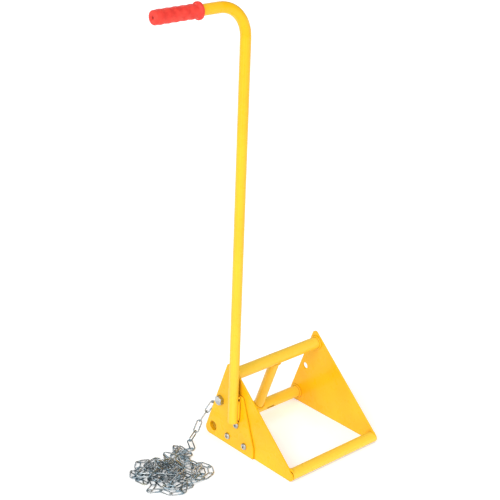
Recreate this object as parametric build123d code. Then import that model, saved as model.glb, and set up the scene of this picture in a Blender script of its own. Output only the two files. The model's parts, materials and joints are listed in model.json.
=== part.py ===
from build123d import *
from math import cos, radians, sin, tan
import os

# A hand-set wheel chock of the kind used at truck docks: two steel side plates held apart by three
# cross tubes and a strut, a tall carrying handle on a bolted plate, and a long loose chain.
# Millimetres. X runs along the cross tubes (the handle is at -X), -Y is the sloped wheel face,
# +Z is up. The origin is at floor level, at the middle of the plates' length and, within 3 mm,
# halfway between the end of the grip and the far plate.
# Side views use u, the distance forward from the rear corner of the side plates, and z.

# ---- side plates ----
PLATE = 5.0
HALF_SPAN = 279.0
PLATE_SPAN = 294.0
REAR_ANGLE = 66.8
FRONT_ANGLE = 43.1
BASE_LENGTH = 362.7
REAR_ROUND = 15.0
APEX_ROUND = 10.0
TOE_ROUND = 13.0

# ---- cross tubes and strut ----
TUBE_R = 15.9
TUBE_WALL = 2.4
TOE_TUBE_R = 14.3
STRUT_R = 13.3
TOP_TUBE = (112.7, 204.4)
REAR_TUBE = (38.8, 28.4)
TOE_TUBE = (330.0, 15.5)
DRAIN_LENGTH = 28.0
DRAIN_WIDTH = 5.5
DRAIN_OFFSET = 35.0
DRAIN_ANGLE = 21.0

# ---- handle ----
HANDLE_R = 12.7
HANDLE_WALL = 2.2
HANDLE_LEAN = 3.1
HANDLE_FOOT = (134.8, 87.0)
ARM_HEIGHT = 1152.0
BEND_R = 76.2
ARM_END = -285.0
HANDLE_PLATE_STEP = (159.0, 161.5)
HANDLE_PLATE_TOE = (199.0, 197.5, 28.0)
STEP_ROUND = 8.0

# ---- grip ----
GRIP_LENGTH = 122.0
GRIP_R = 16.6
FLANGE_R = 20.0
FLANGE = 5.0
GRIP_END = 6.0
RIBS = 6
RIB_DEPTH = 1.0
GRIP_VENT_R = 3.6

# ---- fasteners ----
CHAIN_BOLT = (71.0, 119.0)
CHAIN_BOLT_R = 8.0
CHAIN_BOLT_HOLE_R = 8.75
CHAIN_BOLT_HEAD = (24.0, 10.0)
CHAIN_NUT = (24.0, 13.0)
CHAIN_WASHER = (15.0, 3.0)
CORNER_HOLE_R = 13.5
SMALL_BOLTS = [(133.8, 72.5), (99.2, 25.5), (165.0, 24.2)]
SMALL_BOLT_R = 5.0
SMALL_HOLE_R = 5.5
SMALL_HEAD = (8.75, 5.5)
SMALL_WASHER = (10.0, 2.0)
SMALL_NUT = (16.0, 8.0)
HEX_KEY = (6.0, 3.0)

# ---- chain ----
WIRE = 3.4
LINK_INNER = 31.0
LINK_WIDTH = 16.0
END_WIRE = 4.0
END_INNER = 38.0
END_WIDTH = 25.5
LINK_PLAY = 9.0
END_LINK_OUT = 8.5
# direction (x, forward, up), roll in degrees and the slack at the upper contact of each hanging link
HANGING = [
    ((0.0, -0.82, -0.572), 0, 0.35),
    ((-0.201, -0.803, -0.562), 19.0, 1.6),
    ((-0.637, -0.140, -0.758), 3.5, 1.4),
    ((-0.751, 0.032, -0.660), -29.0, 0.85),
    ((-0.680, 0.261, -0.685), 10.0, 0.7),
    ((-0.877, 0.323, -0.355), 21.5, 1.0),
]
PILE_CENTRE = (-216.0, 125.0)
PILE_RADII = (114.0, 98.0)
PILE_HEIGHT = 30.0

# ---- derived places ----
FAR_OUTER = HALF_SPAN
FAR_INNER = FAR_OUTER - PLATE
NEAR_OUTER = HALF_SPAN - PLATE_SPAN
NEAR_INNER = NEAR_OUTER + PLATE
HANDLE_FACE = NEAR_OUTER - PLATE
STEM_X = HANDLE_FACE - HANDLE_R
REAR_EDGE = REAR_ROUND / tan(radians(REAR_ANGLE / 2)) - REAR_ROUND
FRONT_EDGE = TOE_TUBE[0] + TOE_TUBE_R
MIDDLE = (REAR_EDGE + FRONT_EDGE) / 2
APEX_HEIGHT = BASE_LENGTH / (1 / tan(radians(REAR_ANGLE)) + 1 / tan(radians(FRONT_ANGLE)))
APEX = (APEX_HEIGHT / tan(radians(REAR_ANGLE)), APEX_HEIGHT)


def at(x, u, z):
    """A point given by its place along X and in the side view."""
    return Vector(x, MIDDLE - u, z)


def side_view(x):
    """Sketch plane of the side view at x: sketch x is u, sketch y is z, and it faces -X."""
    return Plane(origin=at(x, 0, 0), x_dir=(0, -1, 0), z_dir=(-1, 0, 0))


def nearest(vertices, u, z):
    return sorted(vertices, key=lambda v: (v.X - u) ** 2 + (v.Y - z) ** 2)[0]


def plate(x_outer, corners, holes):
    """A plate from x_outer inwards; corners are (u, z, round), holes are (u, z, radius)."""
    face = Polygon(*[(u, z) for u, z, _ in corners], align=None)
    for u, z, radius in corners:
        if radius:
            face = fillet(nearest(face.vertices(), u, z), radius)
    for u, z, radius in holes:
        face -= Pos(u, z) * Circle(radius)
    return extrude(side_view(x_outer) * face, -PLATE)


def cross_rod(x0, x1, place, radius):
    """A solid rod along X between x0 and x1."""
    disc = Pos(*place) * Circle(radius)
    return extrude(side_view(x0) * disc, x0 - x1)


def cross_tube(place, radius):
    tube = cross_rod(NEAR_INNER, FAR_INNER, place, radius)
    return tube - cross_rod(NEAR_INNER, FAR_INNER, place, radius - TUBE_WALL)


def hexagon(x0, x1, place, across_flats):
    outline = Pos(*place) * RegularPolygon(across_flats / 2, 6, major_radius=False)
    return extrude(side_view(x0) * outline, x0 - x1)


SIDE_CORNERS = [(0, 0, REAR_ROUND), (BASE_LENGTH, 0, TOE_ROUND), (*APEX, APEX_ROUND)]
SHARED_HOLES = [(*CHAIN_BOLT, CHAIN_BOLT_HOLE_R), (*REAR_TUBE, CORNER_HOLE_R)]
SMALL_HOLES = [(*place, SMALL_HOLE_R) for place in SMALL_BOLTS]


def near_side_plate():
    return plate(NEAR_OUTER, SIDE_CORNERS, SHARED_HOLES + SMALL_HOLES)


def far_side_plate():
    return plate(FAR_INNER, SIDE_CORNERS, SHARED_HOLES)


def handle_plate():
    """Doubler under the handle: full height behind it, stepped down in front of it."""
    step_u, step_z = HANDLE_PLATE_STEP
    toe_u, heel_u, toe_z = HANDLE_PLATE_TOE
    stem_u = HANDLE_FOOT[0] + (step_z - HANDLE_FOOT[1]) * tan(radians(HANDLE_LEAN))
    top_z = (BASE_LENGTH - stem_u) * tan(radians(FRONT_ANGLE))
    corners = [
        (0, 0, REAR_ROUND),
        (heel_u, 0, 1),
        (toe_u, toe_z, 6),
        (step_u, step_z, STEP_ROUND),
        (stem_u, step_z, 6),
        (stem_u, top_z, 3),
        (*APEX, APEX_ROUND),
    ]
    return plate(HANDLE_FACE, corners, SHARED_HOLES + SMALL_HOLES)


def drained_rear_tube():
    """The rear tube, with a slot low on its front side that lets water out."""
    tube = cross_tube(REAR_TUBE, TUBE_R)
    middle_x = (NEAR_INNER + FAR_INNER) / 2 + DRAIN_OFFSET
    outward = (0, -cos(radians(DRAIN_ANGLE)), -sin(radians(DRAIN_ANGLE)))
    slot_plane = Plane(origin=at(middle_x, *REAR_TUBE), x_dir=(1, 0, 0), z_dir=outward)
    slot = extrude(slot_plane * SlotOverall(DRAIN_LENGTH, DRAIN_WIDTH), TUBE_R + 1.0)
    return tube - slot


def strut():
    """The strut from the rear tube up to the top tube, coped to both."""
    x = (NEAR_INNER + FAR_INNER) / 2
    foot = at(x, *REAR_TUBE)
    head = at(x, *TOP_TUBE)
    axis = Plane(origin=foot, z_dir=head - foot)
    ring = Circle(STRUT_R) - Circle(STRUT_R - TUBE_WALL)
    body = extrude(axis * ring, (head - foot).length)
    body -= cross_rod(NEAR_INNER, FAR_INNER, REAR_TUBE, TUBE_R)
    body -= cross_rod(NEAR_INNER, FAR_INNER, TOP_TUBE, TUBE_R)
    return body


def handle_line():
    """Centre line of the handle: up the stem, round the bend and out along the arm."""
    rise = ARM_HEIGHT - HANDLE_FOOT[1]
    foot = at(STEM_X, *HANDLE_FOOT)
    corner = at(STEM_X, HANDLE_FOOT[0] + rise * tan(radians(HANDLE_LEAN)), ARM_HEIGHT)
    end = Vector(ARM_END + GRIP_END, corner.Y, corner.Z)
    return foot, corner, end


def handle_tube():
    foot, corner, end = handle_line()
    path = FilletPolyline(foot, corner, end, radius=BEND_R)
    start = Plane(origin=foot, z_dir=corner - foot)
    ring = Circle(HANDLE_R) - Circle(HANDLE_R - HANDLE_WALL)
    return sweep(start * ring, path=path)


def grip():
    """A moulded sleeve pushed over the arm: a flange, shallow finger ribs and a domed end."""
    _, corner, end = handle_line()
    outer = Plane(origin=(ARM_END, corner.Y, corner.Z), x_dir=(0, 0, 1), z_dir=(0, -1, 0))
    rib = (GRIP_LENGTH - FLANGE - GRIP_END) / RIBS
    with BuildSketch(outer) as half:
        with BuildLine():
            line = Line((GRIP_VENT_R, 0), (GRIP_R - 5.0, 0))
            line = TangentArc(line @ 1, (GRIP_R, -GRIP_END), tangent=(1, -0.2))
            for i in range(RIBS):
                y0 = -GRIP_END - i * rib
                line = SagittaArc((GRIP_R, y0), (GRIP_R, y0 - rib), RIB_DEPTH)
            Polyline(
                (GRIP_R, -GRIP_LENGTH + FLANGE), (FLANGE_R, -GRIP_LENGTH + FLANGE),
                (FLANGE_R, -GRIP_LENGTH), (HANDLE_R, -GRIP_LENGTH),
                (HANDLE_R, -GRIP_END), (GRIP_VENT_R, -GRIP_END), (GRIP_VENT_R, 0),
            )
        make_face()
    axis = Axis((ARM_END, corner.Y, corner.Z), (1, 0, 0))
    return revolve(half.sketch, axis=axis)


def chain_bolt():
    flats, head = CHAIN_BOLT_HEAD
    end = NEAR_INNER + 2 * CHAIN_WASHER[1] + LINK_PLAY + CHAIN_NUT[1] + 3.0
    bolt = hexagon(HANDLE_FACE - head, HANDLE_FACE, CHAIN_BOLT, flats)
    bolt = chamfer(bolt.faces().sort_by(Axis.X)[0].edges(), 0.8)
    return bolt + cross_rod(HANDLE_FACE, end, CHAIN_BOLT, CHAIN_BOLT_R)


def chain_bolt_washers():
    radius, thick = CHAIN_WASHER
    outer_x = NEAR_INNER + thick + LINK_PLAY
    pair = [cross_rod(x, x + thick, CHAIN_BOLT, radius) for x in (NEAR_INNER, outer_x)]
    hole = cross_rod(NEAR_INNER, outer_x + thick, CHAIN_BOLT, CHAIN_BOLT_R)
    return Compound(children=[washer - hole for washer in pair])


def chain_nut():
    flats, thick = CHAIN_NUT
    x0 = NEAR_INNER + 2 * CHAIN_WASHER[1] + LINK_PLAY
    return hexagon(x0, x0 + thick, CHAIN_BOLT, flats) - cross_rod(x0, x0 + thick, CHAIN_BOLT, CHAIN_BOLT_R)


def each_small_bolt(make):
    """One group of separate solids, a piece from make at each place of the handle bolts."""
    return Compound(children=[make(place) for place in SMALL_BOLTS])


def small_bolt(place):
    """A button-head screw through the handle plate and the near side plate."""
    radius, head = SMALL_HEAD
    key, depth = HEX_KEY
    end = NEAR_INNER + SMALL_WASHER[1] + SMALL_NUT[1] + 2.0
    screw = cross_rod(HANDLE_FACE - head, HANDLE_FACE, place, radius)
    screw = fillet(screw.faces().sort_by(Axis.X)[0].edges(), 3.5)
    screw += cross_rod(HANDLE_FACE, end, place, SMALL_BOLT_R)
    return screw - hexagon(HANDLE_FACE - head, HANDLE_FACE - head + depth, place, key)


def small_washer(place):
    radius, thick = SMALL_WASHER
    hole = cross_rod(NEAR_INNER, NEAR_INNER + thick, place, SMALL_BOLT_R)
    return cross_rod(NEAR_INNER, NEAR_INNER + thick, place, radius) - hole


def small_nut(place):
    flats, thick = SMALL_NUT
    x0 = NEAR_INNER + SMALL_WASHER[1]
    return hexagon(x0, x0 + thick, place, flats) - cross_rod(x0, x0 + thick, place, SMALL_BOLT_R)


def link(centre, along, normal, inner, width, wire):
    """A welded chain link: two half rings of wire joined by two straight sides."""
    bend = (width - wire) / 2
    half = (inner + wire) / 2 - bend
    crown = Torus(bend, wire / 2, major_angle=180, align=None)
    side = Cylinder(wire / 2, 2 * half, rotation=(90, 0, 0))
    ring = Pos(0, half) * crown + Pos(0, -half) * Rot(0, 0, 180) * crown
    ring += Pos(bend, 0) * side + Pos(-bend, 0) * side
    return Plane(origin=centre, x_dir=along.cross(normal), z_dir=normal) * ring


def hanging_links():
    """The links between the bolt and the pile, each hooked through the one above."""
    links = {}
    pivot = at(NEAR_INNER + END_LINK_OUT, *CHAIN_BOLT)
    held_by = 2 * CHAIN_BOLT_R
    normal = None
    for i, ((out, forward, up), roll, slack) in enumerate(HANGING):
        along = Vector(out, -forward, up).normalized()
        name = "chain_end_link" if i == 0 else f"chain_link_{i}"
        inner, width, wire = (END_INNER, END_WIDTH, END_WIRE) if i == 0 else (LINK_INNER, LINK_WIDTH, WIRE)
        if i == 0:
            normal = Vector(1, 0, 0)
        else:
            across = (normal - along * normal.dot(along)).normalized()
            turned = across * cos(radians(roll)) + along.cross(across) * sin(radians(roll))
            normal = along.cross(turned)
        top = pivot - along * (held_by / 2 + slack)
        links[name] = link(top + along * (inner / 2), along, normal, inner, width, wire)
        pivot = top + along * (inner + wire / 2)
        held_by = wire
    return links


def chain_pile():
    """The outer shape of the loose chain heaped on the floor: a low oval dome with a thick rim."""
    long_r, short_r = PILE_RADII
    x, u = PILE_CENTRE
    levels = [(1.0, 0.0), (1.0, 0.4), (0.62, 0.85), (0.34, 1.0)]
    rings = [
        Plane(origin=at(x, u, PILE_HEIGHT * h)).rotated((0, 0, -50)) * Ellipse(long_r * s, short_r * s)
        for s, h in levels
    ]
    return loft(rings, ruled=True)


def parts():
    nodes = {
        "near_side_plate": near_side_plate(),
        "far_side_plate": far_side_plate(),
        "handle_plate": handle_plate(),
        "top_tube": cross_tube(TOP_TUBE, TUBE_R),
        "rear_tube": drained_rear_tube(),
        "toe_tube": cross_tube(TOE_TUBE, TOE_TUBE_R),
        "strut": strut(),
        "handle_tube": handle_tube(),
        "grip": grip(),
        "chain_bolt": chain_bolt(),
        "chain_bolt_washers": chain_bolt_washers(),
        "chain_nut": chain_nut(),
        "handle_bolts": each_small_bolt(small_bolt),
        "handle_washers": each_small_bolt(small_washer),
        "handle_nuts": each_small_bolt(small_nut),
        "chain_pile": chain_pile(),
    }
    nodes.update(hanging_links())
    return nodes


os.makedirs("parts", exist_ok=True)
for node, shape in parts().items():
    export_step(shape, f"parts/{node}.step")
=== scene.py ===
import json
import math
import bpy
import numpy as np
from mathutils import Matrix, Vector


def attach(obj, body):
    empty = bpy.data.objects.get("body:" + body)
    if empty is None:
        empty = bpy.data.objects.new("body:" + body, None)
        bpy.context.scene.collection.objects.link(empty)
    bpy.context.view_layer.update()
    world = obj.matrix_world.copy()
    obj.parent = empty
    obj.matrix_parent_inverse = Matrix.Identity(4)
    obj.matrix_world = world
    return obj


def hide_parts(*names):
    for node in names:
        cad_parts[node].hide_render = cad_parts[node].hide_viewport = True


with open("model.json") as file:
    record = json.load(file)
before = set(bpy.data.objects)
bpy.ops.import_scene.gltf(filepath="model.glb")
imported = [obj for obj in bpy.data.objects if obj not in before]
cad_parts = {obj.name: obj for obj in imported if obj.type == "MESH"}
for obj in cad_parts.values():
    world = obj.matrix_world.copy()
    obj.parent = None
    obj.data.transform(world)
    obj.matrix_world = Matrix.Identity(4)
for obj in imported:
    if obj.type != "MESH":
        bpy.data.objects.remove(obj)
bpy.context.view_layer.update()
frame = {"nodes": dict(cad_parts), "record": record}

# A steel wheel chock with a long carrying handle and a loose chain. The CAD bodies keep their shapes
# and get finishes here. New pieces are the chain, the weld beads, the grip and the chain bolt.

# ---- places and sizes shared with the CAD source, in metres; (u, z) is a place in the side view ----
MIDDLE = 0.176025
NEAR_INNER = -0.010
FAR_INNER = 0.274
HANDLE_FACE = -0.020
TUBE_R = 0.0159
TOE_TUBE_R = 0.0143
STRUT_R = 0.0133
TOP_TUBE = (0.1127, 0.2044)
REAR_TUBE = (0.0388, 0.0284)
TOE_TUBE = (0.3300, 0.0155)
HANDLE_R = 0.0127
HANDLE_LEAN = math.radians(3.1)
HANDLE_FOOT = (0.1348, 0.0870)
ARM_HEIGHT = 1.1520
ARM_END = -0.285
CHAIN_BOLT = (0.0710, 0.1190)
GRIP_LENGTH = 0.122

# ---- a link of the loose chain ----
WIRE = 0.0034
LINK_INNER = 0.031
LINK_WIDTH = 0.016
PITCH = 0.0308
LINK_BEND = (LINK_WIDTH - WIRE) / 2
LINK_HALF = (LINK_INNER + WIRE) / 2 - LINK_BEND
ARC_STEPS = 12
SIDE_STEPS = 4
WIRE_SIDES = 10
SEAM_RISE = 0.12

# ---- the heap ----
CHAIN_START = (-0.09576, 0.13992, 0.01081)
START_CORNER = (-0.136, 0.114)
LOOSE_LINKS = 114
HEAP_SEED = 31
HEAP_CENTRE = (-0.222, 0.050)
HEAP_RADII = (0.104, 0.090)
HEAP_TURN = math.radians(-50)

# ---- how the chain falls ----
FALL_STEPS = 330
FALL_PASSES = 8
TIME_STEP = 1 / 240
GRAVITY = 9.81
SPEED_LIMIT = 0.45
DRAG = 0.985
FRICTION = (0.35, 0.35, 0.65)
OVERSHOOT = 1.3
CLEAR = WIRE + 0.0020
NEAR_LINKS = 0.048
NEAR_WIRES = CLEAR + 0.006
LOOSEST_TURN = 0.65
TIGHTEST_FOLD = 0.016

# ---- welds: how far a bead's middle stands off the steel, its points' spacing, its ripples' pitch ----
WELD_LIFT = 0.0008
WELD_STEP = 0.0006
POOL_PITCH = 0.0026
WELD_SIDES = 14
TUBE_BEAD = 0.0030
STRUT_BEAD = 0.0028
OVER_TOE = (0.80, 3.00)


def at(x, u, z):
    """A point from its place along X and in the side view, as in the CAD source."""
    return Vector((x, MIDDLE - u, z))


# ---------------------------------------------------------------- mesh helpers

def new_piece(name, verts, faces, body="frame"):
    """A smooth-shaded mesh that rides a body; the floor has none."""
    mesh = bpy.data.meshes.new(name)
    mesh.from_pydata([tuple(v) for v in verts], [], faces)
    mesh.polygons.foreach_set("use_smooth", [True] * len(mesh.polygons))
    mesh.update()
    piece = bpy.data.objects.new(name, mesh)
    bpy.context.scene.collection.objects.link(piece)
    if body:
        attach(piece, body)
    return piece


def ring_faces(rings, sides, closed, base=0):
    """Quads between successive rings of vertices; closed also joins the last ring to the first."""
    faces = []
    for i in range(rings if closed else rings - 1):
        a, b = base + i * sides, base + (i + 1) % rings * sides
        for k in range(sides):
            n = (k + 1) % sides
            faces.append((a + k, b + k, b + n, a + n))
    return faces


def link_outline():
    """Centre line of a link as (along, across, outward along, outward across)."""
    line = []
    for end in (1, -1):
        for k in range(ARC_STEPS + 1):
            a = math.pi * k / ARC_STEPS
            line.append((end * (LINK_HALF + LINK_BEND * math.sin(a)), end * LINK_BEND * math.cos(a),
                         end * math.sin(a), end * math.cos(a)))
        for k in range(1, SIDE_STEPS):
            line.append((end * LINK_HALF * (1 - 2 * k / SIDE_STEPS), -end * LINK_BEND, 0, -end))
    return line


def chain_mesh(places):
    """Vertices and faces of links, each given by its centre, its long axis and its cross axis. One
    side of each link swells a little at its welded seam."""
    outline = link_outline()
    verts, faces = [], []
    for centre, along, across in places:
        normal = along.cross(across)
        base = len(verts)
        for a, c, oa, oc in outline:
            middle = centre + along * a + across * c
            out = along * oa + across * oc
            seam = math.exp(-(a / (0.45 * WIRE)) ** 2) if c > 0 else 0.0
            radius = WIRE / 2 * (1 + SEAM_RISE * seam)
            for k in range(WIRE_SIDES):
                t = 2 * math.pi * k / WIRE_SIDES
                verts.append(middle + (out * math.cos(t) + normal * math.sin(t)) * radius)
        faces += ring_faces(len(outline), WIRE_SIDES, True, base)
    return verts, faces


# ---------------------------------------------------------------- the loose chain

def wander(rng):
    """The chain's first route, before it falls: it strays over the heap's oval and slowly climbs."""
    tries, first_links = 10, 12
    drop, crowd_reach, start_reach = 0.16, 0.022, 0.045
    turn_c, turn_s = math.cos(HEAP_TURN), math.sin(HEAP_TURN)
    route = [np.array(CHAIN_START)]
    heading = math.atan2(HEAP_CENTRE[1] - CHAIN_START[1], HEAP_CENTRE[0] - CHAIN_START[0])
    for i in range(LOOSE_LINKS):
        best = None
        before = np.array(route)
        for _ in range(tries):
            if rng.random() < 0.6:
                angle = heading + rng.normal(0, 0.8)
            else:
                angle = rng.uniform(-math.pi, math.pi)
            step = 0.98 * PITCH * np.array([math.cos(angle), math.sin(angle), 0])
            spot = route[-1] + step
            dx, dy = spot[0] - HEAP_CENTRE[0], spot[1] - HEAP_CENTRE[1]
            edge = math.hypot((dx * turn_c + dy * turn_s) / HEAP_RADII[0],
                              (dy * turn_c - dx * turn_s) / HEAP_RADII[1])
            near = np.hypot(before[:, 0] - spot[0], before[:, 1] - spot[1])
            crowd = np.exp(-(near / crowd_reach) ** 2).sum() / max(0.25, 1.25 - edge ** 2)
            score = 0.35 * crowd + 9 * max(0, edge - rng.uniform(0.65, 1.0)) + rng.uniform(0, 1)
            if i < first_links:
                score = max(0, math.dist(spot[:2], START_CORNER) - rng.uniform(0.0, start_reach))
            if best is None or score < best[0]:
                best = (score, angle, spot)
        heading, spot = best[1], best[2]
        spot[2] = CHAIN_START[2] + drop * i / LOOSE_LINKS
        route.append(spot)
    return np.array(route)


def wire_samples():
    """Points round a link's wire, as (along, across), where it can touch the floor and other links."""
    points = [(LINK_HALF * a, LINK_BEND * c) for a in (-1, -0.5, 0, 0.5, 1) for c in (-1, 1)]
    corner = LINK_BEND * math.sqrt(0.5)
    points += [(a * (LINK_HALF + corner), c * corner) for a in (-1, 1) for c in (-1, 1)]
    points += [(a * (LINK_HALF + LINK_BEND), 0) for a in (-1, 1)]
    return np.array(points)


def unit_rows(vectors):
    return vectors / np.linalg.norm(vectors, axis=1)[:, None]


class FallingChain:
    """The loose chain as it drops on the floor. Each link is a stiff frame of four points: its two
    contact points, shared with its neighbours, and the middles of its two sides."""

    def __init__(self):
        rng = np.random.default_rng(HEAP_SEED)
        n = LOOSE_LINKS
        contacts = wander(rng)
        along = unit_rows(contacts[1:] - contacts[:-1])
        level = unit_rows(np.cross((0.0, 0.0, 1.0), along))
        upright = np.cross(along, level)
        roll = (np.arange(n) * math.pi / 2 + np.cumsum(rng.normal(0, 0.25, n)))[:, None]
        across = level * np.cos(roll) + upright * np.sin(roll)
        middle = (contacts[1:] + contacts[:-1]) / 2
        self.points = np.vstack([contacts, middle - across * LINK_BEND, middle + across * LINK_BEND])
        self.velocity = np.zeros_like(self.points)
        head, tail = np.arange(n), np.arange(n) + 1
        self.left, self.right = n + 1 + np.arange(n), 2 * n + 1 + np.arange(n)
        self.bar_a = np.concatenate([head, self.left, head, head, tail, tail])
        self.bar_b = np.concatenate([tail, self.right, self.left, self.right, self.left, self.right])
        diagonal = math.hypot(PITCH / 2, LINK_BEND)
        self.bar_long = np.concatenate([np.full(n, PITCH), np.full(n, 2 * LINK_BEND),
                                        np.full(4 * n, diagonal)])
        samples = wire_samples()
        self.per_link = len(samples)
        self.owner = np.repeat(np.stack([head, tail, self.left, self.right], 1), self.per_link, axis=0)
        lengthways, sideways = samples[:, 0] / PITCH, samples[:, 1] / (2 * LINK_BEND)
        self.share = np.tile(np.stack([0.5 - lengthways, 0.5 + lengthways, -sideways, sideways], 1),
                             (n, 1))
        self.weight = (self.share ** 2).sum(1)

    def wires(self):
        """Where the sample points of all the links' wires are."""
        return (self.points[self.owner] * self.share[:, :, None]).sum(1)

    def find_near(self):
        """Lists the pairs of sample points that might touch, on links that aren't neighbours."""
        spots = self.wires().astype(np.float32)
        centres = spots.reshape(LOOSE_LINKS, self.per_link, 3).mean(1)
        apart = np.linalg.norm(centres[:, None] - centres[None], axis=2)
        link_a, link_b = np.nonzero(np.triu(apart < NEAR_LINKS, 2))
        all_a = link_a[:, None] * self.per_link + np.arange(self.per_link)
        all_b = link_b[:, None] * self.per_link + np.arange(self.per_link)
        gap = ((spots[all_a][:, :, None] - spots[all_b][:, None]) ** 2).sum(-1)
        pair, i, j = np.nonzero(gap < NEAR_WIRES ** 2)
        self.pair_a, self.pair_b = all_a[pair, i], all_b[pair, j]

    def keep_shape(self, shift, count):
        """The links keep their shape."""
        bar = self.points[self.bar_b] - self.points[self.bar_a]
        long = np.linalg.norm(bar, axis=1)
        fix = bar / long[:, None] * ((long - self.bar_long) / 2)[:, None]
        np.add.at(shift, self.bar_a, fix)
        np.add.at(shift, self.bar_b, -fix)
        np.add.at(count, self.bar_a, 1)
        np.add.at(count, self.bar_b, 1)

    def keep_crossed(self, shift):
        """Neighbours stay roughly at right angles."""
        left, right = self.left, self.right
        cross = unit_rows(self.points[right] - self.points[left])
        turn = (cross[1:] * cross[:-1]).sum(1)
        excess = np.maximum(np.abs(turn) - LOOSEST_TURN, 0)
        twist = (np.sign(turn) * excess * LINK_BEND / 2)[:, None]
        shift[right[:-1]] -= twist * cross[1:]
        shift[left[:-1]] += twist * cross[1:]
        shift[right[1:]] -= twist * cross[:-1]
        shift[left[1:]] += twist * cross[:-1]

    def keep_open(self, shift):
        """A fold between two links is never quite closed."""
        n = LOOSE_LINKS
        fold = self.points[2:n + 1] - self.points[:n - 1]
        long = np.linalg.norm(fold, axis=1)
        short = np.maximum(TIGHTEST_FOLD - long, 0)
        fix = fold / long[:, None] * (short / 2)[:, None]
        shift[:n - 1] -= fix
        shift[2:n + 1] += fix

    def keep_apart(self, shift, count, touched):
        """The wires stay above the floor and out of those of links that aren't neighbours."""
        owner, share, weight = self.owner, self.share, self.weight
        spots = self.wires()
        low = np.nonzero(spots[:, 2] < WIRE / 2)[0]
        lift = (WIRE / 2 - spots[low, 2]) / weight[low]
        off = spots[self.pair_a] - spots[self.pair_b]
        far = np.linalg.norm(off, axis=1) + 1e-9
        hit = np.nonzero(far < CLEAR)[0]
        a, b = self.pair_a[hit], self.pair_b[hit]
        push = off[hit] * ((CLEAR - far[hit]) / far[hit] / (weight[a] + weight[b]))[:, None]
        for k in range(4):
            np.add.at(shift[:, 2], owner[low, k], lift * share[low, k])
            np.add.at(shift, owner[a, k], push * share[a, k][:, None])
            np.add.at(shift, owner[b, k], -push * share[b, k][:, None])
            for rows in (low, a, b):
                np.add.at(count, owner[rows, k], np.abs(share[rows, k]))
                np.add.at(touched, owner[rows, k], np.abs(share[rows, k]))

    def step(self, number):
        """Moves the chain on by one time step, with its first contact point held."""
        start = self.points.copy()
        self.velocity[:, 2] -= GRAVITY * TIME_STEP
        self.velocity[0] = 0
        self.points = self.points + self.velocity * TIME_STEP
        if number % 2 == 0:
            self.find_near()
        touched = np.zeros(len(self.points))
        for _ in range(FALL_PASSES):
            shift, count = np.zeros_like(self.points), np.zeros(len(self.points))
            self.keep_shape(shift, count)
            self.keep_crossed(shift)
            self.keep_open(shift)
            self.keep_apart(shift, count, touched)
            shift /= np.maximum(count, 1)[:, None]
            shift[0] = 0
            self.points = np.round(self.points + OVERSHOOT * shift, 8)
        self.velocity = (self.points - start) / TIME_STEP
        self.velocity[touched > 0] *= FRICTION
        self.velocity *= DRAG
        speed = np.linalg.norm(self.velocity, axis=1)
        self.velocity *= (np.minimum(speed, SPEED_LIMIT) / np.maximum(speed, 1e-9))[:, None]

    def settle(self):
        """Returns the contact points and each link's cross axis once the chain lies still."""
        for number in range(FALL_STEPS):
            self.step(number)
        self.points[:, 2] += max(0.0, WIRE / 2 - self.wires()[:, 2].min())
        return self.points[:LOOSE_LINKS + 1], self.points[self.right] - self.points[self.left]


def loose_chain():
    """The links on the floor, from the end of the last hanging link to the bare far end."""
    contacts, across = FallingChain().settle()
    places = []
    for i in range(LOOSE_LINKS):
        a, b = Vector(contacts[i]), Vector(contacts[i + 1])
        along = (b - a).normalized()
        side = Vector(across[i])
        side = (side - along * side.dot(along)).normalized()
        places.append(((a + b) / 2, along, side))
    verts, faces = chain_mesh(places)
    piece = new_piece("loose_chain", verts, faces)
    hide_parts("chain_pile")
    return piece


def camera():
    """The viewpoint solved from the plates' and tubes' edges."""
    data = bpy.data.cameras.new("camera")
    data.sensor_width = 36.0
    data.lens = 87.7
    data.clip_end = 100.0
    cam = bpy.data.objects.new("camera", data)
    cam.location = (-1.7369, -2.0451, 1.6477)
    cam.rotation_euler = (math.radians(67.94), 0.0, math.radians(-40.18))
    bpy.context.scene.collection.objects.link(cam)
    bpy.context.scene.camera = cam


# ---------------------------------------------------------------- materials

YELLOW = (0.950, 0.530, 0.006)
DEEP_YELLOW = (0.930, 0.470, 0.004)
# paler yellow for sharp edges: the coat runs thin there, plus a painted edge highlight
THIN_COAT_AND_HIGHLIGHT_YELLOW = (0.960, 0.640, 0.070)
# painted shade for crevices and seams between parts
CREVICE_SHADE = (0.380, 0.095, 0.008)
# painted shade deep down tube bores and other enclosed spots
BORE_SHADE = (0.110, 0.035, 0.012)
RED = (0.860, 0.062, 0.042)
DEEP_RED = (0.760, 0.042, 0.030)
# painted sheen for the crests of the grip's ribs
RIB_SHEEN_RED = (0.860, 0.120, 0.090)
SHADED_RED = (0.060, 0.006, 0.005)
ZINC = (0.430, 0.450, 0.455)
PALE_ZINC = (0.580, 0.600, 0.600)
BLUE_ZINC = (0.230, 0.310, 0.360)
STRAW_ZINC = (0.470, 0.430, 0.300)
WHITE = (0.880, 0.880, 0.880)
OFF_WHITE = (0.860, 0.860, 0.860)
FLOOR_GLOW = 0.38


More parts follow.
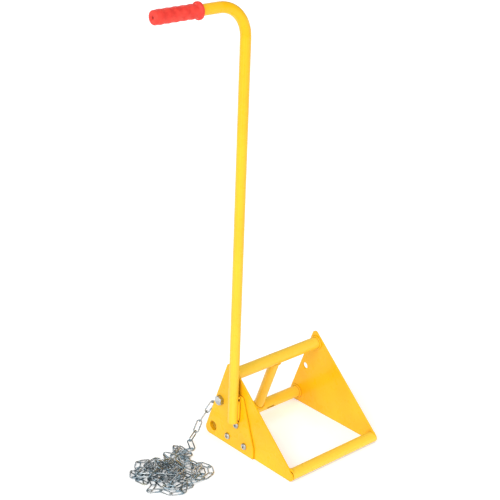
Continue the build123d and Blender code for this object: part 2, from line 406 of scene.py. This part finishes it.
class Nodes:
    """A material's node tree, with the few kinds of node used here."""

    def __init__(self, name, metallic=0.0, specular=0.5, coat=0.0, coat_roughness=0.1):
        self.material = bpy.data.materials.new(name)
        self.material.use_nodes = True
        self.tree = self.material.node_tree
        self.shader = self.tree.nodes["Principled BSDF"]
        self.shader.inputs["Metallic"].default_value = metallic
        self.shader.inputs["Specular IOR Level"].default_value = specular
        self.shader.inputs["Coat Weight"].default_value = coat
        self.shader.inputs["Coat Roughness"].default_value = coat_roughness
        self.where = self.tree.nodes.new("ShaderNodeTexCoord").outputs["Object"]

    def link(self, source, target):
        self.tree.links.new(source, target)

    def noise(self, scale, detail, roughness=0.5, stretch=(1, 1, 1)):
        """Noise fixed to the piece. A stretch below 1 draws its grain out along that axis."""
        mapping = self.tree.nodes.new("ShaderNodeMapping")
        mapping.inputs["Scale"].default_value = stretch
        node = self.tree.nodes.new("ShaderNodeTexNoise")
        node.inputs["Scale"].default_value = scale
        node.inputs["Detail"].default_value = detail
        node.inputs["Roughness"].default_value = roughness
        self.link(self.where, mapping.inputs["Vector"])
        self.link(mapping.outputs["Vector"], node.inputs["Vector"])
        return node.outputs["Fac"]

    def nooks(self, reach):
        """1 in the open, falling to 0 where other surfaces close in within reach."""
        node = self.tree.nodes.new("ShaderNodeAmbientOcclusion")
        node.samples = 12
        node.inputs["Distance"].default_value = reach
        return node.outputs["AO"]

    def pointiness(self):
        """Above 0.5 on outer edges, below it in inner ones."""
        return self.tree.nodes.new("ShaderNodeNewGeometry").outputs["Pointiness"]

    def span(self, value, low, high, out_low=0.0, out_high=1.0):
        """Spreads value's stretch from low to high over out_low to out_high, with soft ends."""
        node = self.tree.nodes.new("ShaderNodeMapRange")
        node.interpolation_type = "SMOOTHSTEP"
        for socket, number in zip(("From Min", "From Max", "To Min", "To Max"),
                                  (low, high, out_low, out_high)):
            node.inputs[socket].default_value = number
        self.link(value, node.inputs["Value"])
        return node.outputs["Result"]

    def mix(self, share, low, high):
        """Mixes two colours; each is a colour or another mix's output."""
        node = self.tree.nodes.new("ShaderNodeMix")
        node.data_type = "RGBA"
        self.link(share, node.inputs["Factor"])
        for colour, socket in ((low, node.inputs[6]), (high, node.inputs[7])):
            if isinstance(colour, tuple):
                socket.default_value = (*colour, 1.0)
            else:
                self.link(colour, socket)
        return node.outputs[2]

    def bump(self, height, strength, distance, under=None):
        """A relief from height, on top of the relief under it."""
        node = self.tree.nodes.new("ShaderNodeBump")
        node.inputs["Strength"].default_value = strength
        node.inputs["Distance"].default_value = distance
        self.link(height, node.inputs["Height"])
        if under:
            self.link(under, node.inputs["Normal"])
        return node.outputs["Normal"]

    def finish(self, colour, roughness, normal):
        self.link(colour, self.shader.inputs["Base Color"])
        self.link(roughness, self.shader.inputs["Roughness"])
        self.link(normal, self.shader.inputs["Normal"])
        return self.material


def powder_coat(name, ripple=0.0):
    """Glossy yellow powder coat: faint clouding, orange peel, tiny nibs, paler on sharp edges where the
    coat runs thin and a painted highlight lies, and painted shade that darkens it in crevices and down
    bores. Ripple roughens it over a weld."""
    n = Nodes(name, specular=0.15, coat=0.20, coat_roughness=0.05)
    colour = n.mix(n.span(n.noise(7, 3), 0.38, 0.66), DEEP_YELLOW, YELLOW)
    # sharp edges paler: thin coat there, and a painted edge highlight
    colour = n.mix(n.span(n.pointiness(), 0.52, 0.62, 0.0, 0.7), colour, THIN_COAT_AND_HIGHLIGHT_YELLOW)
    colour = n.mix(n.span(n.noise(260, 1), 0.74, 0.80, 0.0, 0.5), colour, DEEP_YELLOW)
    # painted shade: darkens the coat where other surfaces close in within 5 mm
    colour = n.mix(n.span(n.nooks(0.005), 0.30, 0.80), CREVICE_SHADE, colour)
    # painted shade: very dark brown where surfaces close in within 40 mm, as down a tube's bore
    colour = n.mix(n.span(n.nooks(0.040), 0.03, 0.16), BORE_SHADE, colour)
    roughness = n.span(n.noise(45, 3), 0.3, 0.7, 0.24, 0.38)
    peel = n.bump(n.noise(620, 1), 0.20, 0.00012)
    nibs = n.bump(n.span(n.noise(330, 0), 0.72, 0.82), 0.35, 0.00015, peel)
    if ripple:
        nibs = n.bump(n.noise(900, 3, 0.7), ripple, 0.0002, nibs)
    return n.finish(colour, roughness, nibs)


def bright_zinc(name, tint, marks_scale):
    """Bright zinc plate: a tint and some straw over the grey, fine drawing marks, a cloudy shine."""
    n = Nodes(name, metallic=1.0)
    colour = n.mix(n.span(n.noise(55, 2), 0.42, 0.62), ZINC, tint)
    colour = n.mix(n.span(n.noise(23, 1), 0.56, 0.70, 0.0, 0.6), colour, STRAW_ZINC)
    roughness = n.span(n.noise(340, 2), 0.3, 0.7, 0.16, 0.34)
    marks = n.bump(n.noise(marks_scale, 2, 0.6, (1, 1, 0.25)), 0.25, 0.00008)
    return n.finish(colour, roughness, marks)


def grip_vinyl():
    """Soft red vinyl with a fine matt grain, a painted sheen that makes the ribs' crests a little
    paler, and painted shade in its nooks.
    """
    n = Nodes("grip_vinyl", specular=0.25)
    colour = n.mix(n.span(n.noise(60, 4), 0.35, 0.65), DEEP_RED, RED)
    # painted sheen: convex rib crests a little paler
    colour = n.mix(n.span(n.pointiness(), 0.50, 0.56, 0.0, 0.35), colour, RIB_SHEEN_RED)
    colour = n.mix(n.span(n.nooks(0.008), 0.10, 0.55), SHADED_RED, colour)
    roughness = n.span(n.noise(500, 2), 0.3, 0.7, 0.42, 0.58)
    grain = n.bump(n.noise(1400, 2), 0.30, 0.00012)
    return n.finish(colour, roughness, grain)


def floor_white():
    """A matt white floor that glows a little, so that shadows on it stay pale."""
    n = Nodes("studio_floor", specular=0.1)
    n.shader.inputs["Emission Color"].default_value = (1, 1, 1, 1)
    n.shader.inputs["Emission Strength"].default_value = FLOOR_GLOW
    colour = n.mix(n.noise(0.8, 1), OFF_WHITE, WHITE)
    roughness = n.span(n.noise(30, 1), 0, 1, 0.8, 0.9)
    return n.finish(colour, roughness, n.bump(n.noise(300, 1), 0.02, 0.0001))


# ---------------------------------------------------------------- steel and welds

def round_edges(node, width, material):
    """Takes the sharp corners off a CAD node, as rolled plate and plated nuts have them."""
    piece = frame["nodes"][node]
    piece.modifiers.new("join", "WELD").merge_threshold = 0.00002
    flat = piece.modifiers.new("flat", "DECIMATE")
    flat.decimate_type = "DISSOLVE"
    flat.angle_limit = math.radians(1.0)
    bevel = piece.modifiers.new("edges", "BEVEL")
    bevel.width = width
    bevel.segments = 3
    bevel.limit_method = "ANGLE"
    bevel.angle_limit = math.radians(40)
    bevel.use_clamp_overlap = False
    piece.modifiers.new("normals", "WEIGHTED_NORMAL").keep_sharp = False
    paint(piece, material)


def paint(piece, material):
    piece.data.materials.clear()
    piece.data.materials.append(material)


def smooth_noise(rng, count, grain):
    """Smoothly varying heights from -1 to 1, between random knots that are grain samples apart."""
    knots = rng.uniform(-1, 1, count // grain + 3)
    return np.interp(np.arange(count) / grain, np.arange(len(knots)), knots)


def weld_bead(name, path, radius, closed, material, seed):
    """A run of weld along the path, with the overlapping ripples of its pools. An open run tapers
    at its ends."""
    count = len(path)
    rng = np.random.default_rng(seed)
    swell = smooth_noise(rng, count, 9)
    steps = [(path[(i + 1) % count] - path[i]).length for i in range(count)]
    travel = np.concatenate([[0.0], np.cumsum(steps)])[:count]
    verts = []
    for i, point in enumerate(path):
        ahead = path[(i + 1) % count] if closed or i < count - 1 else point
        behind = path[i - 1] if closed or i > 0 else point
        forward = (ahead - behind).normalized()
        side = forward.cross(Vector((0.31, 0.52, 0.80))).normalized()
        over = side.cross(forward)
        pool = abs((travel[i] / POOL_PITCH) % 1.0 - 0.5) * 2
        size = radius * (0.93 + 0.13 * (1 - pool ** 2) + 0.07 * swell[i])
        if not closed:
            size *= math.sin(math.pi * min(1.0, 0.12 + 4 * min(i, count - 1 - i) / count) / 2) ** 0.5
        for k in range(WELD_SIDES):
            t = 2 * math.pi * k / WELD_SIDES
            verts.append(point + side * math.cos(t) * size + over * math.sin(t) * size)
    faces = ring_faces(count, WELD_SIDES, closed)
    if not closed:
        last = (count - 1) * WELD_SIDES
        faces += [tuple(range(WELD_SIDES)), tuple(reversed(range(last, last + WELD_SIDES)))]
    bead = new_piece(name, verts, faces)
    paint(bead, material)


def circle(centre, radius, first, second, start=0.0, sweep=2 * math.pi):
    """Points on a circle or an arc of it, about a weld's step apart. Angles go from first to second."""
    count = max(8, int(radius * abs(sweep) / WELD_STEP))
    full = abs(sweep) > 6.28
    angles = [start + sweep * k / (count if full else count - 1) for k in range(count)]
    return [centre + first * radius * math.cos(a) + second * radius * math.sin(a) for a in angles]


def tube_welds(material):
    """The weld round each end of each cross tube; the toe tube's is left open in front and below."""
    front, up = Vector((0, -1, 0)), Vector((0, 0, 1))
    tubes = (("top", TOP_TUBE, TUBE_R), ("rear", REAR_TUBE, TUBE_R), ("toe", TOE_TUBE, TOE_TUBE_R))
    for t, (name, place, radius) in enumerate(tubes):
        whole = name != "toe"
        start, sweep = (0.0, 2 * math.pi) if whole else OVER_TOE
        for end, (x, inward) in enumerate(((NEAR_INNER, 1), (FAR_INNER, -1))):
            centre = at(x + inward * WELD_LIFT, *place)
            ring = circle(centre, radius + WELD_LIFT, front, up, start, sweep)
            weld_bead(f"weld_{name}_{end}", ring, TUBE_BEAD, whole, material, 20 + 2 * t + end)


def strut_welds(material):
    """The saddle-shaped weld where the strut meets each tube."""
    count = 150
    radius = STRUT_R + WELD_LIFT
    x = (NEAR_INNER + FAR_INNER) / 2
    foot, head = at(x, *REAR_TUBE), at(x, *TOP_TUBE)
    for end, (centre, way) in enumerate(((foot, head - foot), (head, foot - head))):
        along = way.normalized()
        level = Vector((1, 0, 0))
        other = along.cross(level)
        saddle = []
        for k in range(count):
            a = 2 * math.pi * k / count
            rise = math.sqrt((TUBE_R + WELD_LIFT) ** 2 - (radius * math.sin(a)) ** 2)
            round_strut = level * radius * math.cos(a) + other * radius * math.sin(a)
            saddle.append(centre + round_strut + along * rise)
        weld_bead(f"weld_strut_{end}", saddle, STRUT_BEAD, True, material, 40 + end)


def stem_at(z):
    """The stem's centre line at height z."""
    u = HANDLE_FOOT[0] + (z - HANDLE_FOOT[1]) * math.tan(HANDLE_LEAN)
    return at(HANDLE_FACE - HANDLE_R, u, z)


def handle_welds(material):
    """Beads down both sides of the stem where it lies on the handle plate, and round its foot."""
    up = (stem_at(1.0) - stem_at(0.1)).normalized()
    out = Vector((1, 0, 0))
    rear = up.cross(out)
    beside, inward = 0.0095, HANDLE_R - 0.0024
    # name, rear (1) or front (-1) side, lowest and highest z, bead radius
    runs = [("rear", 1, 0.090, 0.150, 0.0040), ("front", -1, 0.092, 0.149, 0.0038),
            ("rear_top", 1, 0.196, 0.222, 0.0034), ("front_top", -1, 0.155, 0.162, 0.0030)]
    for k, (name, way, low, high, size) in enumerate(runs):
        across = way * beside
        points = []
        for i in range(int((high - low) / WELD_STEP)):
            centre = stem_at(low + WELD_STEP * i)
            points.append(centre + rear * across + out * inward)
        weld_bead(f"weld_stem_{name}", points, size, False, material, 60 + k)
    foot = stem_at(HANDLE_FOOT[1] - 0.0004)
    arc = circle(foot, HANDLE_R - 0.0012, out, rear, -1.15, 2.3)
    weld_bead("weld_stem_foot", arc, TUBE_BEAD, False, material, 70)


# ---------------------------------------------------------------- grip and chain bolt

GRIP_R = 0.0166
RING_PITCH = 0.0205
FIRST_RING = 0.0068
RING_DIP = 0.00045
GRIP_ROUND = 0.005
WAIST = GRIP_LENGTH - 0.0105
WAIST_R = 0.0158
FLANGE_R = 0.0199
VENT_R = 0.0036


def grip_radius(x):
    """The grip's outer radius at x from its closed end: finger rings, a waist and the flange."""
    ring = GRIP_R - RING_DIP * (1 + math.cos(2 * math.pi * (x - FIRST_RING) / RING_PITCH))
    if x < GRIP_ROUND:
        return ring - 0.0042 * (1 - math.sqrt(max(0.0, 1 - ((GRIP_ROUND - x) / GRIP_ROUND) ** 2)))
    if x > WAIST:
        t = min(1.0, (x - WAIST) / 0.005)
        rise = WAIST_R + (FLANGE_R - WAIST_R) * (3 * t * t - 2 * t ** 3)
        rim = max(0.0, (x - GRIP_LENGTH + 0.0022) / 0.0022)
        return rise - 0.0013 * (1 - math.sqrt(max(0.0, 1 - rim ** 2)))
    return ring


def grip_sleeve(material):
    """The moulded grip: vent hole, rounded end, rings, flange and a faint mould line each side."""
    arm = at(0, HANDLE_FOOT[0] + (ARM_HEIGHT - HANDLE_FOOT[1]) * math.tan(HANDLE_LEAN), ARM_HEIGHT)
    profile = [(0.0060, 0.0004), (0.0060, VENT_R), (0.0008, VENT_R), (0.0001, VENT_R + 0.0006)]
    profile += [(0.0, r) for r in (0.0055, 0.0075, 0.0095, 0.0110)]
    stations = np.concatenate([[0.0002, 0.0006, 0.0012, 0.002, 0.003, 0.0042, 0.0056],
                               np.arange(0.007, WAIST, 0.0010),
                               np.arange(WAIST, GRIP_LENGTH - 0.0001, 0.0005)])
    profile += [(x, grip_radius(x)) for x in stations]
    profile += [(GRIP_LENGTH, r) for r in (0.0183, 0.0160, 0.0134)]
    profile.append((GRIP_LENGTH - 0.0006, HANDLE_R + 0.0001))
    sides, mould_line = 112, 0.00022
    verts = []
    for x, radius in profile:
        outside = radius > 0.0142 and x > 0.002
        for k in range(sides):
            a = 2 * math.pi * k / sides
            from_line = min(k % (sides // 2), -k % (sides // 2))
            seam = mould_line * math.exp(-(from_line / 0.8) ** 2) if outside else 0.0
            r = radius + seam
            verts.append((ARM_END + x, arm.y + r * math.cos(a), arm.z + r * math.sin(a)))
    faces = ring_faces(len(profile), sides, False)
    faces.append(tuple(reversed(range(sides))))
    piece = new_piece("grip_sleeve", verts, faces)
    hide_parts("grip")
    paint(piece, material)


def hex_radius(angle, flats):
    """Distance from the middle to the side of a hexagon in that direction."""
    sector = (angle + math.pi / 6) % (math.pi / 3) - math.pi / 6
    return flats / 2 / math.cos(sector)


def chain_bolt(material):
    """The hex bolt that holds the chain: chamfered head with a shallow dish, and a cut thread. Its
    rows go from the head's face inwards, as place along the bolt, radius and kind."""
    flats, head, shank, pitch = 0.024, 0.010, 0.0080, 0.0020
    sides = 96
    beyond_corners = 1.0
    neck = NEAR_INNER - HANDLE_FACE
    first, last = neck + 0.0002, neck + 0.031
    rows = [(-head + 0.0007, 0.0004, "round"), (-head + 0.0006, 0.0070, "round"),
            (-head + 0.0001, 0.0088, "round"), (-head, 0.0096, "round"), (-head, 0.0112, "round")]
    rows += [(-head + 0.00035 * i, 0.0114 + 0.00062 * i, "hex") for i in range(1, 5)]
    rows += [(-head + 0.002 + 0.001 * i, beyond_corners, "hex") for i in range(8)]
    rows += [(-0.0002, beyond_corners, "hex"), (0.0, 0.0112, "round"), (0.0, shank, "round")]
    rows.append((neck, shank, "round"))
    count = int((last - first) / 0.00025)
    rows += [(first + (last - first) * i / count, shank, "thread") for i in range(count + 1)]
    rows += [(last, 0.0062, "round"), (last, 0.0004, "round")]
    verts = []
    for x, radius, kind in rows:
        for k in range(sides):
            a = 2 * math.pi * k / sides
            r = radius
            if kind == "hex":
                r = min(radius, hex_radius(a, flats))
            elif kind == "thread":
                turn = (x / pitch - a / (2 * math.pi)) % 1.0
                near_end = min(1.0, (last - x) / 0.0015)
                r = shank - 0.0011 * abs(2 * turn - 1) - 0.0009 * (1 - near_end)
            place = at(HANDLE_FACE + x, *CHAIN_BOLT)
            verts.append(place + Vector((0, -r * math.cos(a), r * math.sin(a))))
    faces = ring_faces(len(rows), sides, False)
    tip = (len(rows) - 1) * sides
    faces += [tuple(reversed(range(sides))), tuple(range(tip, tip + sides))]
    piece = new_piece("chain_bolt_threaded", verts, faces)
    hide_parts("chain_bolt")
    split = piece.modifiers.new("crisp", "EDGE_SPLIT")
    split.split_angle = math.radians(38)
    paint(piece, material)


# ---------------------------------------------------------------- studio

def sun(name, azimuth, elevation, strength, spread):
    """A soft light; azimuth 0 is in front of the toe, and positive goes towards +X."""
    data = bpy.data.lights.new(name, "SUN")
    data.energy = strength
    data.angle = math.radians(spread)
    lamp = bpy.data.objects.new(name, data)
    a, e = math.radians(azimuth), math.radians(elevation)
    back = Vector((math.sin(a) * math.cos(e), -math.cos(a) * math.cos(e), math.sin(e)))
    lamp.rotation_euler = (-back).to_track_quat("-Z", "Y").to_euler()
    bpy.context.scene.collection.objects.link(lamp)


def sky(towards, bright, dim):
    """Studio walls that metal shows: bright towards one side, dim elsewhere; the camera sees white."""
    world = bpy.data.worlds.new("studio")
    world.use_nodes = True
    bpy.context.scene.world = world
    tree = world.node_tree
    background = tree.nodes["Background"]
    background.inputs["Color"].default_value = (1, 1, 1, 1)
    where = tree.nodes.new("ShaderNodeTexCoord")
    facing = tree.nodes.new("ShaderNodeVectorMath")
    facing.operation = "DOT_PRODUCT"
    facing.inputs[1].default_value = Vector(towards).normalized()
    grade = tree.nodes.new("ShaderNodeMapRange")
    grade.interpolation_type = "SMOOTHSTEP"
    grade.inputs["From Min"].default_value = -0.1
    grade.inputs["From Max"].default_value = 0.9
    grade.inputs["To Min"].default_value = dim
    grade.inputs["To Max"].default_value = bright
    seen = tree.nodes.new("ShaderNodeLightPath")
    choose = tree.nodes.new("ShaderNodeMix")
    choose.inputs["B"].default_value = 1.0
    tree.links.new(where.outputs["Generated"], facing.inputs[0])
    tree.links.new(facing.outputs["Value"], grade.inputs["Value"])
    tree.links.new(seen.outputs["Is Camera Ray"], choose.inputs["Factor"])
    tree.links.new(grade.outputs["Result"], choose.inputs["A"])
    tree.links.new(choose.outputs["Result"], background.inputs["Strength"])


def studio():
    """The floor, the sky and the lights."""
    reach = 30.0
    corners = [(-reach, -reach, 0), (reach, -reach, 0), (reach, reach, 0), (-reach, reach, 0)]
    ground = new_piece("floor", corners, [(0, 1, 2, 3)], body=None)
    paint(ground, floor_white())
    sky(towards=(-0.75, -0.62, 0.25), bright=1.15, dim=0.26)
    sun("key", azimuth=-72, elevation=36, strength=1.0, spread=30)
    sun("front", azimuth=-10, elevation=30, strength=0.5, spread=45)
    sun("rim", azimuth=150, elevation=40, strength=0.5, spread=20)
    bpy.context.scene.view_settings.view_transform = "Standard"


# ---------------------------------------------------------------- the scene

camera()
chain = loose_chain()

yellow = powder_coat("powder_coat")
yellow_weld = powder_coat("powder_coat_weld", ripple=0.25)
hardware_zinc = bright_zinc("bright_zinc", PALE_ZINC, 900)
chain_zinc = bright_zinc("chain_zinc", BLUE_ZINC, 700)
vinyl = grip_vinyl()
finishes = {"yellow_plates": yellow, "yellow_tubes": yellow, "grip_rubber": vinyl,
            "zinc_hardware": hardware_zinc, "zinc_chain": chain_zinc}
for part in frame["record"]["subparts"]:
    paint(frame["nodes"][part["node"]], finishes[part["material_slot"]])
paint(chain, chain_zinc)
for plate in ("near_side_plate", "far_side_plate", "handle_plate"):
    round_edges(plate, 0.0008, yellow)
for nuts in ("chain_nut", "handle_nuts"):
    round_edges(nuts, 0.0006, hardware_zinc)
tube_welds(yellow_weld)
strut_welds(yellow_weld)
handle_welds(yellow_weld)
grip_sleeve(vinyl)
chain_bolt(hardware_zinc)
studio()
